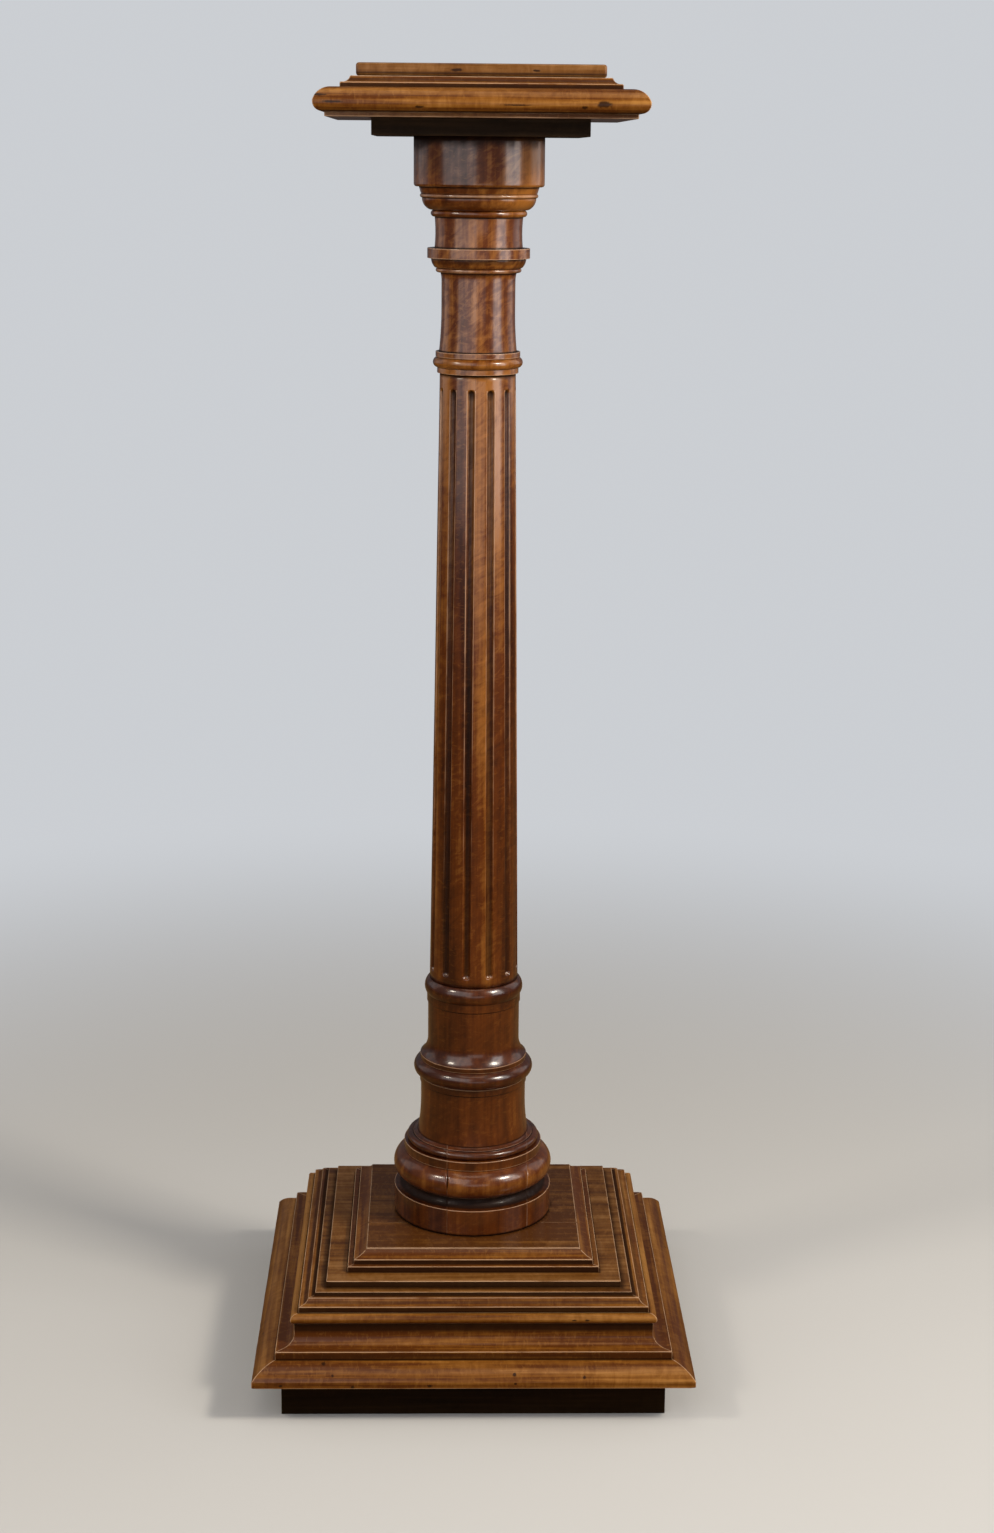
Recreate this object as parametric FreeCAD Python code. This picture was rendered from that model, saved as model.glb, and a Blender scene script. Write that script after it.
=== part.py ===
import FreeCAD, Part
import math
import os

# Pedestal column stand: a square moulded base, a turned and fluted column and a square moulded top.
# Millimetres, +Z up, origin on the floor at the centre of the base, front towards -Y.
# "Half" is half the width of a square member, measured from the column's axis.

# Base, half widths from the outside in
baseHalf = 195.0            # lower edge of the ovolo, the widest member
plinthSetback = 24.6        # plinth behind the ovolo's edge
ovoloWidth = 19.6           # ovolo, from its edge in to the fillet above it
hollowLedge = 7.0           # flat between the fillet's arris and the large hollow
hollowReach = 9.0           # large hollow, measured level
neckWall = 9.4              # thickness of the middle moulding above its hollow
bullnoseProud = 3.1         # bullnose beyond that wall
boardLap = 5.4              # bottom board's rest on the middle moulding
upperSetback = 7.1          # upper moulding behind the bullnose
coreLedge = 9.4             # core board's rim seen below the tread
treadWidth = 18.4           # flat step round the cap
capFilletStep = 5.3         # cap's own fillet beyond its face
capSlopeWidth = 11.2        # sloped margin of the cap, measured level

# Base, heights from the floor up
plinthHeight = 37.2
ovoloEdge = 6.0             # upright edge under the ovolo's curve
ovoloRise = 12.0
middleFillet = 7.3
hollowRise = 9.3
middleNeck = 10.2
bullnoseHeight = 8.4        # also the bottom board's thickness
baseStripEdge = 5.5         # upright lower edge of the upper base moulding
coreAboveStrip = 2.5        # core board standing over the upper moulding
treadThickness = 6.2
capFilletHeight = 5.4
capEdgeHeight = 4.4
capSlopeRise = 5.4
capPanelStep = 1.0          # cap boards standing over the slope
capSeam = 41.2              # seam of the two cap boards, in front of the axis

# Small hollow moulding, run on the base and on the top
stripWidth = 14.2
stripLowerLedge = 2.0
stripHollowReach = 5.9
stripHollowRise = 4.0
stripFillet = 1.0

# Foot turning, from the cap up
discRadius = 73.0
discHeight = 24.7
scotiaStart = 69.5
scotiaEnd = 62.5
scotiaHeight = 8.2
torusReach = 73.5
torusSection = 13.5
footFilletRadius = 63.8
footFilletHeight = 8.6
smallTorusReach = 61.0
smallTorusSection = 3.5
footNeckRadius = 55.4
footNeckHeight = 0.9
footTopRadius = 51.5
footCoveHeight = 1.8
footSeamLeft = 24.0         # glue lines of the foot's three boards, left and right of the axis
footSeamRight = 50.0

# Shaft below the flutes
shaftFootRadius = 51.2
shaftFootFlare = 32.0
shaftDrumRadius = 48.4
shaftDrumHeight = 16.4
ringFilletRadius = 49.3
ringFilletHeight = 6.2
ringReach = 54.9
ringSection = 8.0
ringCapRadius = 49.0
ringCapHeight = 4.8
waistStartRadius = 48.2
waistFlare = 15.0
waistRadius = 42.0
waistHeight = 36.0
collarBandRadius = 42.9
collarBandHeight = 7.8
collarRingReach = 45.0
collarRingBelly = 6.3       # height from the ring's foot to its widest line
collarRingRise = 8.5        # and from there to its top
collarRingTop = 40.9

# Fluted length
fluteBaseRadius = 40.4
fluteTopRadius = 33.1
flutedLength = 551.2
fluteCount = 12
fluteTurn = -10.5           # degrees from the front to the nearest flute
fluteRadius = 3.6           # round bottom of a flute
fluteSetOut = 0.8           # its centre outside the shaft's surface
fluteLowerMargin = 12.0
fluteUpperMargin = 16.0

# Bead and plain upper length
beadFilletRadius = 35.4
beadFilletHeight = 4.6
beadReach = 39.1
beadSection = 4.6
beadCapRadius = 36.8
upperFootRadius = 33.8
upperFlare = 36.0
upperRadius = 31.9
upperStraight = 24.0
upperHeadRadius = 32.9
upperHeadFlare = 7.2

# Neck collar and neck
astragalReach = 37.0
astragalSection = 2.0
collarOvoloStart = 37.6
collarOvoloEnd = 41.0
collarOvoloHeight = 8.0
collarRadius = 44.2
collarHeight = 8.6
neckRadius = 38.0
neckWaist = 37.3
neckHeight = 26.1

# Capital
capitalBeadReach = 41.4
capitalBeadSection = 2.95
capitalOvoloStart = 42.2
capitalOvoloEnd = 49.0
capitalOvoloHeight = 10.0
capitalRimReach = 50.7      # small bead along the foot of the band
capitalRimSection = 1.8
capitalBandLower = 49.9
capitalBandUpper = 51.6
capitalBandHeight = 9.2
drumRadius = 56.0
drumRound = 2.4
drumHeight = 41.5

# Top, from the column up
cleatHalf = 89.7
cleatThickness = 14.1
lipHalf = 126.2
lipThickness = 4.0
topHalf = 135.4             # outermost line of the main moulding
topCoreHalf = 100.0
mainHeight = 19.3
mainLowerRadius = 7.4       # tight curve under the main moulding's nose
mainUpperReach = 14.2       # wide curve above it, measured level
mainNoseHeight = 1.3        # upright line between the two curves
topStripEdge = 4.0          # upright lower edge of the upper top moulding
panelOverhang = 1.5         # panel beyond the core board
panelThickness = 10.5
panelRound = 2.4

# Joints between the pieces
tenonRadius = 21.0          # round tenon at each end of the shaft
fitGap = 0.1                # clearance all round a tenon or a screw
overrun = 1.0               # how far a cut runs past the face it leaves
wedgeThickness = 5.0
wedgeTip = 1.6
wedgeLength = 24.0
screwHeadRadius = 4.6
screwHeadDepth = 3.2
screwRadius = 2.2
topScrewLength = 34.0
topScrewInset = 21.7        # screws from the cleat's edges
baseScrewLength = 19.0
baseScrewInset = 41.2       # screws from the core board's edges
cornerBlockWidth = 24.0
cornerBlockLift = 4.0       # blocks end above the floor
rubBlockWidth = 20.0
rubBlockLength = 110.0

# Curve of a stretch, as a share of the fullest arc that ends level or upright: rounds plus, hollows minus
fullRound = 1.0
softRound = 0.7
fullHollow = -1.0
softHollow = -0.7

sides = {"front": 0, "right": 90, "back": 180, "left": 270}
nodes = {}


def outline(points, place):
    """Closed face through (out, up, curve) points; a point's curve belongs to the stretch ending there."""
    edges = []
    for start, end in zip(points, points[1:] + points[:1]):
        curve = end[2] if len(end) > 2 else 0
        a, b = place(start[0], start[1]), place(end[0], end[1])
        if curve:
            across, rise = end[0] - start[0], end[1] - start[1]
            short, long = sorted((abs(across), abs(rise)))
            bow = curve * math.tan(math.atan2(short, long) / 2)
            middle = place(
                (start[0] + end[0] + bow * rise) / 2,
                (start[1] + end[1] - bow * across) / 2)
            edges.append(Part.Arc(a, middle, b).toShape())
        else:
            edges.append(Part.LineSegment(a, b).toShape())
    return Part.Face(Part.Wire(edges))


def bead(reach, bottom, section):
    """Half-round stretch that stands out to reach."""
    return [
        (reach - section, bottom),
        (reach, bottom + section, fullRound),
        (reach - section, bottom + 2 * section, fullRound)]


def turned(points):
    """Solid turned about the column's axis from an outline of radii and heights."""
    face = outline(points, lambda radius, height: FreeCAD.Vector(radius, 0, height))
    return face.revolve(FreeCAD.Vector(0, 0, 0), FreeCAD.Vector(0, 0, 1), 360)


def mitredSides(name, points):
    """Four strips of one section round the axis, mitred at the corners."""
    reach = max(point[0] for point in points) + overrun
    face = outline(points, lambda half, height: FreeCAD.Vector(-reach, -half, height))
    run = face.extrude(FreeCAD.Vector(2 * reach, 0, 0))
    low = min(point[1] for point in points) - overrun
    high = max(point[1] for point in points) + overrun
    corners = [(0, 0), (-reach, -reach), (reach, -reach), (0, 0)]
    wedge = Part.Face(Part.makePolygon([FreeCAD.Vector(x, y, low) for x, y in corners]))
    front = run.common(wedge.extrude(FreeCAD.Vector(0, 0, high - low)))
    for side, turn in sides.items():
        strip = front.copy()
        strip.rotate(FreeCAD.Vector(0, 0, 0), FreeCAD.Vector(0, 0, 1), turn)
        nodes[name + "_" + side] = strip


def board(half, bottom, thickness):
    corner = FreeCAD.Vector(-half, -half, bottom)
    return Part.makeBox(2 * half, 2 * half, thickness, corner)


def bore(bottom, top):
    """Round space for a tenon, a little past both faces."""
    start = FreeCAD.Vector(0, 0, bottom - overrun)
    return Part.makeCylinder(boreRadius, top - bottom + 2 * overrun, start)


def smallHollow(outer, bottom, edge):
    """Section of the small hollow moulding; its foot is at (outer, bottom)."""
    inner = outer - stripWidth
    hollowOuter = outer - stripLowerLedge
    hollowInner = hollowOuter - stripHollowReach
    arris = bottom + edge
    hollowTop = arris + stripHollowRise
    top = hollowTop + stripFillet
    return [
        (inner, bottom),
        (outer, bottom),
        (outer, arris),
        (hollowOuter, arris),
        (hollowInner, hollowTop, fullHollow),
        (hollowInner, top),
        (inner, top)]


def screw(x, y, bottom, length, gap=0):
    """Countersunk screw driven upwards, its head flush with the face below."""
    start = FreeCAD.Vector(x, y, bottom)
    head = Part.makeCone(screwHeadRadius + gap, screwRadius + gap, screwHeadDepth, start)
    shank = Part.makeCylinder(screwRadius + gap, length + gap, start)
    return head.fuse(shank).removeSplitter()


def screwSet(place, bottom, length, gap=0):
    return [screw(x, y, bottom, length, gap) for x in (-place, place) for y in (-place, place)]


def wedgeSlot(end, inward):
    """Slot across a tenon's end for its wedge; inward is +1 upwards into the tenon, -1 downwards."""
    half, tip = wedgeThickness / 2, wedgeTip / 2
    deep = end + inward * wedgeLength
    reach = tenonRadius + overrun
    corners = [(-half, end), (half, end), (tip, deep), (-tip, deep), (-half, end)]
    points = [FreeCAD.Vector(-reach, y, z) for y, z in corners]
    return Part.Face(Part.makePolygon(points)).extrude(FreeCAD.Vector(2 * reach, 0, 0))


boreRadius = tenonRadius + fitGap

# Levels of the base
ovoloTop = plinthHeight + ovoloEdge + ovoloRise
middleTop = ovoloTop + middleFillet + hollowRise + middleNeck
bullnoseTop = middleTop + bullnoseHeight
stripHeight = baseStripEdge + stripHollowRise + stripFillet
coreTop = bullnoseTop + stripHeight + coreAboveStrip
treadTop = coreTop + treadThickness
capTop = treadTop + capFilletHeight + capEdgeHeight + capSlopeRise + capPanelStep

# Half widths of the base
plinthHalf = baseHalf - plinthSetback
filletHalf = baseHalf - ovoloWidth
hollowHalf = filletHalf - hollowLedge
neckHalf = hollowHalf - hollowReach
frameInner = neckHalf - neckWall
bullnoseHalf = neckHalf + bullnoseProud
bottomBoardHalf = frameInner + boardLap
upperHalf = bullnoseHalf - upperSetback
coreHalf = upperHalf - stripWidth
treadHalf = coreHalf - coreLedge
capFilletHalf = treadHalf - treadWidth
capHalf = capFilletHalf - capFilletStep
capPanelHalf = capHalf - capSlopeWidth
baseScrewPlace = coreHalf - baseScrewInset

# Levels of the column and the top
footTop = (capTop + discHeight + scotiaHeight + 2 * torusSection + footFilletHeight
           + 2 * smallTorusSection + footNeckHeight + footCoveHeight)
ringBottom = footTop + shaftFootFlare + shaftDrumHeight
waistBottom = ringBottom + ringFilletHeight + 2 * ringSection + ringCapHeight
collarRingBottom = waistBottom + waistFlare + waistHeight
flutedBottom = collarRingBottom + collarBandHeight + collarRingBelly + collarRingRise
flutedTop = flutedBottom + flutedLength
upperBottom = flutedTop + 2 * beadFilletHeight + 2 * beadSection
collarBottom = upperBottom + upperFlare + upperStraight + upperHeadFlare
neckBottom = collarBottom + 2 * astragalSection + collarOvoloHeight + collarHeight
capitalBottom = neckBottom + neckHeight
cleatBottom = (capitalBottom + 2 * capitalBeadSection + capitalOvoloHeight
               + capitalBandHeight + drumHeight)
lipBottom = cleatBottom + cleatThickness
mainBottom = lipBottom + lipThickness
topStripBottom = mainBottom + mainHeight
panelBottom = topStripBottom + topStripEdge + stripHollowRise + stripFillet
panelHalf = topCoreHalf + panelOverhang
topScrewPlace = cleatHalf - topScrewInset


def makeBaseFrames():
    """Plinth and the three large frames, mitred, with their inner faces in one plane."""
    mitredSides("plinth", [
        (frameInner, 0),
        (plinthHalf, 0),
        (plinthHalf, plinthHeight),
        (frameInner, plinthHeight)])
    mitredSides("base_lower_moulding", [
        (frameInner, plinthHeight),
        (baseHalf, plinthHeight),
        (baseHalf, plinthHeight + ovoloEdge),
        (filletHalf, ovoloTop, softRound),
        (frameInner, ovoloTop)])
    hollowBottom = ovoloTop + middleFillet
    mitredSides("base_middle_moulding", [
        (frameInner, ovoloTop),
        (filletHalf, ovoloTop),
        (filletHalf, hollowBottom),
        (hollowHalf, hollowBottom),
        (neckHalf, hollowBottom + hollowRise, fullHollow),
        (neckHalf, middleTop),
        (frameInner, middleTop)])
    mitredSides("base_bullnose", [
        (bottomBoardHalf, middleTop),
        *bead(bullnoseHalf, middleTop, bullnoseHeight / 2),
        (bottomBoardHalf, bullnoseTop)])


def makeBaseBoards():
    """Bottom board, core board with its moulding, tread, and the cap with its moulding."""
    holes = screwSet(baseScrewPlace, middleTop, baseScrewLength, fitGap)
    through = bore(middleTop, capTop)
    bottom = board(bottomBoardHalf, middleTop, bullnoseHeight)
    nodes["base_bottom_board"] = bottom.cut(holes + [through])
    core = board(coreHalf, bullnoseTop, coreTop - bullnoseTop)
    nodes["base_core_board"] = core.cut(holes + [through])
    nodes["base_screws"] = Part.makeCompound(screwSet(baseScrewPlace, middleTop, baseScrewLength))
    mitredSides("base_upper_moulding", smallHollow(upperHalf, bullnoseTop, baseStripEdge))
    nodes["base_tread_board"] = board(treadHalf, coreTop, treadThickness).cut(through)
    cap = board(capPanelHalf, treadTop, capTop - treadTop).cut(through)
    reach = 2 * capPanelHalf
    frontHalf = Part.makeBox(
        2 * reach, reach, 2 * reach, FreeCAD.Vector(-reach, -capSeam - reach, treadTop - reach))
    nodes["base_cap_board_front"] = cap.common(frontHalf)
    nodes["base_cap_board_back"] = cap.cut(frontHalf)
    filletTop = treadTop + capFilletHeight
    mitredSides("base_cap_moulding", [
        (capPanelHalf, treadTop),
        (capFilletHalf, treadTop),
        (capFilletHalf, filletTop),
        (capHalf, filletTop),
        (capHalf, filletTop + capEdgeHeight),
        (capPanelHalf, capTop - capPanelStep, softHollow)])


def makeBlocks():
    """Corner blocks and rubbed glue blocks inside the hollow base, under the bottom board."""
    tall = middleTop - cornerBlockLift
    post = Part.makeBox(
        cornerBlockWidth, cornerBlockWidth, tall,
        FreeCAD.Vector(frameInner - cornerBlockWidth, frameInner - cornerBlockWidth, cornerBlockLift))
    corners = [(0, 0), (0, -rubBlockWidth), (-rubBlockWidth, 0), (0, 0)]
    section = Part.Face(Part.makePolygon([
        FreeCAD.Vector(frameInner + x, -rubBlockLength / 2, middleTop + z) for x, z in corners]))
    rub = section.extrude(FreeCAD.Vector(0, rubBlockLength, 0))
    for name, solid in (("corner_blocks", post), ("glue_blocks", rub)):
        copies = []
        for turn in sides.values():
            piece = solid.copy()
            piece.rotate(FreeCAD.Vector(0, 0, 0), FreeCAD.Vector(0, 0, 1), turn)
            copies.append(piece)
        nodes[name] = Part.makeCompound(copies)


def makeFoot():
    """Foot turning, then parted along its two glue lines."""
    scotiaBottom = capTop + discHeight
    torusBottom = scotiaBottom + scotiaHeight
    torusTop = torusBottom + 2 * torusSection
    filletTop = torusTop + footFilletHeight
    smallTop = filletTop + 2 * smallTorusSection
    neckTop = smallTop + footNeckHeight
    foot = turned([
        (boreRadius, capTop),
        (discRadius, capTop),
        (discRadius, scotiaBottom),
        (scotiaStart, scotiaBottom),
        (scotiaEnd, torusBottom, fullHollow),
        *bead(torusReach, torusBottom, torusSection),
        (footFilletRadius, torusTop),
        (footFilletRadius, filletTop),
        *bead(smallTorusReach, filletTop, smallTorusSection),
        (footNeckRadius, smallTop),
        (footNeckRadius, neckTop),
        (footTopRadius, footTop, fullHollow),
        (boreRadius, footTop)])
    wide = 2 * torusReach
    slabs = {
        "foot_left": (-wide, -footSeamLeft),
        "foot_middle": (-footSeamLeft, footSeamRight),
        "foot_right": (footSeamRight, wide)}
    for name, (start, end) in slabs.items():
        slab = Part.makeBox(
            end - start, 2 * wide, footTop, FreeCAD.Vector(start, -wide, capTop - overrun))
        nodes[name] = foot.common(slab)


def fluteCutters():
    """Round-ended cutters, laid parallel to the shaft's taper."""
    slope = (fluteTopRadius - fluteBaseRadius) / flutedLength
    ends = []
    for height in (flutedBottom + fluteLowerMargin, flutedTop - fluteUpperMargin):
        radius = fluteBaseRadius + slope * (height - flutedBottom) + fluteSetOut
        ends.append((radius, height))
    cutters = []
    for index in range(fluteCount):
        turn = math.radians(fluteTurn + index * 360 / fluteCount)
        low, high = [
            FreeCAD.Vector(radius * math.sin(turn), -radius * math.cos(turn), height)
            for radius, height in ends]
        run = high - low
        along = Part.makeCylinder(fluteRadius, run.Length, low, run)
        for centre in (low, high):
            along = along.fuse(Part.makeSphere(fluteRadius, centre))
        cutters.append(along)
    return cutters


def makeShaft():
    """Shaft in one turning: lower bead, waist, ring, fluted length, bead, upper length and collar."""
    beadTop = ringBottom + ringFilletHeight + 2 * ringSection
    bandTop = collarRingBottom + collarBandHeight
    beadBottom = flutedTop + beadFilletHeight
    beadEnd = beadBottom + 2 * beadSection
    straightBottom = upperBottom + upperFlare
    straightTop = straightBottom + upperStraight
    astragalTop = collarBottom + 2 * astragalSection
    flangeBottom = astragalTop + collarOvoloHeight
    shaft = turned([
        (0, middleTop),
        (tenonRadius, middleTop),
        (tenonRadius, footTop),
        (shaftFootRadius, footTop),
        (shaftDrumRadius, footTop + shaftFootFlare, fullHollow),
        (shaftDrumRadius, ringBottom),
        (ringFilletRadius, ringBottom),
        (ringFilletRadius, ringBottom + ringFilletHeight),
        *bead(ringReach, ringBottom + ringFilletHeight, ringSection),
        (ringCapRadius, beadTop),
        (ringCapRadius, waistBottom),
        (waistStartRadius, waistBottom),
        (waistRadius, waistBottom + waistFlare, fullHollow),
        (waistRadius, collarRingBottom),
        (collarBandRadius, collarRingBottom),
        (collarBandRadius, bandTop),
        (collarRingReach, bandTop + collarRingBelly, fullRound),
        (collarRingTop, flutedBottom, fullRound),
        (fluteBaseRadius, flutedBottom),
        (fluteTopRadius, flutedTop),
        (beadFilletRadius, flutedTop),
        (beadFilletRadius, beadBottom),
        *bead(beadReach, beadBottom, beadSection),
        (beadCapRadius, beadEnd),
        (beadCapRadius, upperBottom),
        (upperFootRadius, upperBottom),
        (upperRadius, straightBottom, fullHollow),
        (upperRadius, straightTop),
        (upperHeadRadius, collarBottom, fullHollow),
        *bead(astragalReach, collarBottom, astragalSection),
        (collarOvoloStart, astragalTop),
        (collarOvoloEnd, flangeBottom, fullRound),
        (collarRadius, flangeBottom),
        (collarRadius, neckBottom),
        (neckRadius, neckBottom),
        (neckWaist, neckBottom + neckHeight / 2, fullHollow),
        (neckRadius, capitalBottom, fullHollow),
        (tenonRadius, capitalBottom),
        (tenonRadius, lipBottom),
        (0, lipBottom)])
    slots = [wedgeSlot(middleTop, 1), wedgeSlot(lipBottom, -1)]
    nodes["shaft"] = shaft.cut(fluteCutters() + slots)
    tenons = Part.makeCylinder(tenonRadius, lipBottom - middleTop, FreeCAD.Vector(0, 0, middleTop))
    nodes["tenon_wedges"] = Part.makeCompound([tenons.common(slot) for slot in slots])


def makeCapital():
    ovoloBottom = capitalBottom + 2 * capitalBeadSection
    bandBottom = ovoloBottom + capitalOvoloHeight
    drumBottom = bandBottom + capitalBandHeight
    nodes["capital"] = turned([
        (boreRadius, capitalBottom),
        *bead(capitalBeadReach, capitalBottom, capitalBeadSection),
        (capitalOvoloStart, ovoloBottom),
        (capitalOvoloEnd, bandBottom, fullRound),
        *bead(capitalRimReach, bandBottom, capitalRimSection),
        (capitalBandLower, bandBottom + 2 * capitalRimSection),
        (capitalBandUpper, drumBottom),
        (drumRadius - drumRound, drumBottom),
        (drumRadius, drumBottom + drumRound, fullRound),
        (drumRadius, cleatBottom),
        (boreRadius, cleatBottom)])


def makeTop():
    """Cleat, lip board, core board with its two mouldings, and the panel."""
    holes = screwSet(topScrewPlace, cleatBottom, topScrewLength, fitGap)
    cleat = board(cleatHalf, cleatBottom, cleatThickness)
    nodes["top_cleat"] = cleat.cut(holes + [bore(cleatBottom, lipBottom)])
    nodes["top_lip_board"] = board(lipHalf, lipBottom, lipThickness).cut(holes)
    core = board(topCoreHalf, mainBottom, panelBottom - mainBottom)
    nodes["top_core_board"] = core.cut(holes)
    nodes["top_screws"] = Part.makeCompound(screwSet(topScrewPlace, cleatBottom, topScrewLength))
    noseBottom = mainBottom + mainLowerRadius
    mitredSides("top_main_moulding", [
        (topCoreHalf, mainBottom),
        (topHalf - mainLowerRadius, mainBottom),
        (topHalf, noseBottom, fullRound),
        (topHalf, noseBottom + mainNoseHeight),
        (topHalf - mainUpperReach, topStripBottom, fullRound),
        (topCoreHalf, topStripBottom)])
    outer = topCoreHalf + stripWidth
    mitredSides("top_upper_moulding", smallHollow(outer, topStripBottom, topStripEdge))
    panel = board(panelHalf, panelBottom, panelThickness)
    level = [edge for edge in panel.Edges if edge.BoundBox.ZLength < edge.Length / 2]
    nodes["top_panel"] = panel.makeFillet(panelRound, level)


makeBaseFrames()
makeBaseBoards()
makeBlocks()
makeFoot()
makeShaft()
makeCapital()
makeTop()

os.makedirs("parts", exist_ok=True)
for name, shape in nodes.items():
    shape.exportStep("parts/" + name + ".step")
box = Part.makeCompound(list(nodes.values())).BoundBox
print(len(nodes), "nodes,", round(box.XLength, 1), "x", round(box.YLength, 1), "x", round(box.ZLength, 1), "mm")
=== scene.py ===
import math
import bpy
import numpy as np
from mathutils import Matrix, Vector


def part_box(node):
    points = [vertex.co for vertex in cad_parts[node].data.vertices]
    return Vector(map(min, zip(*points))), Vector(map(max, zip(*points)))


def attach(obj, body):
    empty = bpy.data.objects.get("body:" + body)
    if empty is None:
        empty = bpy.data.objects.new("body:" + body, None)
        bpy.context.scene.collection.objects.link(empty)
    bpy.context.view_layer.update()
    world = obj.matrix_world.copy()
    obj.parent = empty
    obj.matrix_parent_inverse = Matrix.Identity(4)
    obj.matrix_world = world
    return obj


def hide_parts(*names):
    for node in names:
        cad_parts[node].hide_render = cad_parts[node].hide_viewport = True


# Pedestal column stand in old walnut: a moulded square base, a turned and fluted column, a moulded top.
# Metres, +Z up, front towards -Y; the settings give small sizes in millimetres.
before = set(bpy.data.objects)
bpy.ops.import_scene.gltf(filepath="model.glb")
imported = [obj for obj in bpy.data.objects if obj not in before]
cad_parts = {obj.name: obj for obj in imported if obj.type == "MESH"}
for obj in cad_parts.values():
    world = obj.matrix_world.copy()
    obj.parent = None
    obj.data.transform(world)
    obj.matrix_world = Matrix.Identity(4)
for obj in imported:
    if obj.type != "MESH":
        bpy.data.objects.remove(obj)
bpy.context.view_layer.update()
mm = 0.001
lineStep = 0.1 * mm  # between the points of a drawn outline
print("frame loaded:", len(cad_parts), "nodes")

# curve of a stretch, as a share of the fullest arc that ends level or upright: rounds plus, hollows minus
fullRound, softRound, fullHollow, softHollow = 1.0, 0.7, -1.0, -0.7
sideTurns = {"front": 0, "right": 90, "back": 180, "left": 270}


class Field:
    # a socket that can be added to, multiplied and so on: each operator adds one Math node
    def __init__(self, finish, socket):
        self.finish = finish
        self.socket = socket

    def math(self, operation, first, second=0.0):
        return self.finish.add("ShaderNodeMath", {0: first, 1: second}, operation=operation)

    def __add__(self, other):
        return self.math("ADD", self, other)

    def __sub__(self, other):
        return self.math("SUBTRACT", self, other)

    def __mul__(self, other):
        return self.math("MULTIPLY", self, other)

    def __pow__(self, other):
        return self.math("POWER", self, other)

    def __radd__(self, other):
        return self.math("ADD", other, self)

    def __rsub__(self, other):
        return self.math("SUBTRACT", other, self)

    def __rmul__(self, other):
        return self.math("MULTIPLY", other, self)

    def fromSpot(self, centre, sizes):
        # distance from a centre, as a share of the half sizes, both in millimetres
        away = self.finish.add(
            "ShaderNodeVectorMath", {0: self, 1: [value * mm for value in centre]}, operation="SUBTRACT")
        share = self.finish.stretched(away, [1 / (value * mm) for value in sizes])
        return self.finish.add("ShaderNodeVectorMath", {0: share}, "Value", operation="LENGTH")

    def between(self, low, high):
        # 0 below low, 1 above high, smooth in between
        return self.finish.add(
            "ShaderNodeMapRange", {"Value": self, "From Min": low, "From Max": high},
            interpolation_type="SMOOTHSTEP", clamp=True)


class Finish:
    # one material: add() makes any node, and colours and vectors have methods of their own
    def __init__(self, name):
        self.material = bpy.data.materials.new(name)
        self.material.use_nodes = True
        self.tree = self.material.node_tree
        self.shader = next(n for n in self.tree.nodes if n.type == "BSDF_PRINCIPLED")

    def add(self, kind, inputs=None, output=0, stops=None, **settings):
        node = self.tree.nodes.new(kind)
        for name, value in settings.items():
            setattr(node, name, value)
        if stops:
            ramp = node.color_ramp
            while len(ramp.elements) < len(stops):
                ramp.elements.new(1)
            for element, (place, colour) in zip(ramp.elements, stops):
                element.position, element.color = place, (*colour, 1)
        for name, value in (inputs or {}).items():
            self.feed(node.inputs[name], value)
        return Field(self, node.outputs[output])

    def feed(self, socket, value):
        if isinstance(value, Field):
            self.tree.links.new(value.socket, socket)
        else:
            socket.default_value = value

    def attribute(self, name, output="Fac"):
        return self.add("ShaderNodeAttribute", output=output, attribute_name=name)

    def axes(self, vector):
        # the three parts of a vector, as numbers
        parts = self.add("ShaderNodeSeparateXYZ", {0: vector})
        return [Field(self, socket) for socket in parts.socket.node.outputs]

    def stretched(self, vector, factors):
        return self.add("ShaderNodeVectorMath", {0: vector, 1: factors}, operation="MULTIPLY")

    def noise(self, vector, factors, detail=2.0, roughness=0.5, distortion=0.0):
        # cloudy pattern from 0 to 1, with so many clouds per metre along each axis
        return self.add("ShaderNodeTexNoise", {
            "Vector": self.stretched(vector, factors), "Scale": 1.0, "Detail": detail,
            "Roughness": roughness, "Distortion": distortion})

    def blend(self, share, first, second):
        # two colours mixed by share; sockets 6 and 7 are the Mix node's colours
        return self.add(
            "ShaderNodeMix", {0: share, 6: first, 7: second}, output=2,
            data_type="RGBA")

    def surface(self, **values):
        for name, value in values.items():
            self.feed(self.shader.inputs[name], value)
        return self.material


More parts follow.
